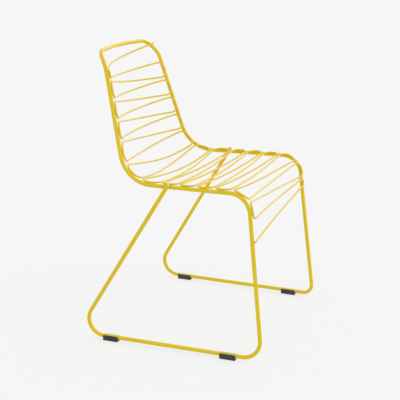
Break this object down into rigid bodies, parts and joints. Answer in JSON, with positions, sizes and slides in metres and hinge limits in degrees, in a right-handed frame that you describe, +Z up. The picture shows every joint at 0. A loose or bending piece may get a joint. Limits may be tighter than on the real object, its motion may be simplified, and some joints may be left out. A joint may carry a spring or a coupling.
{
  "type": "stacking chair",
  "caption": "Sled-base stacking chair of bent yellow steel rod, its seat and back woven from one welded wire meander.",
  "frame": {"origin": "on the floor, under the middle of the chair's width and depth", "axes": "+Z up, -Y to the front where the sitter's legs go, +X to the sitter's left"},
  "size_m": [0.5492, 0.5312, 0.7958],
  "materials": {
    "powder_coat": "smooth semi-gloss yellow powder coat on steel",
    "glide_plastic": "matt dark grey moulded plastic"
  },
  "bodies": {
    "root": {"back_hoop": "powder_coat", "seat_rail_left": "powder_coat", "seat_rail_right": "powder_coat", "sled_leg_left": "powder_coat", "sled_leg_right": "powder_coat", "leg_weld_left": "powder_coat", "leg_weld_right": "powder_coat", "back_wire_1": "powder_coat", "back_wire_2": "powder_coat", "back_wire_3": "powder_coat", "back_wire_4": "powder_coat", "lumbar_wire_1": "powder_coat", "lumbar_wire_2": "powder_coat", "lumbar_wire_3": "powder_coat", "seat_wire_1": "powder_coat", "seat_wire_2": "powder_coat", "seat_wire_3": "powder_coat", "seat_wire_4": "powder_coat", "front_wire_1": "powder_coat", "front_wire_2": "powder_coat", "front_wire_3": "powder_coat", "glide_front_left": "glide_plastic", "glide_front_right": "glide_plastic", "glide_rear_left": "glide_plastic", "glide_rear_right": "glide_plastic"}
  },
  "joints": []
}
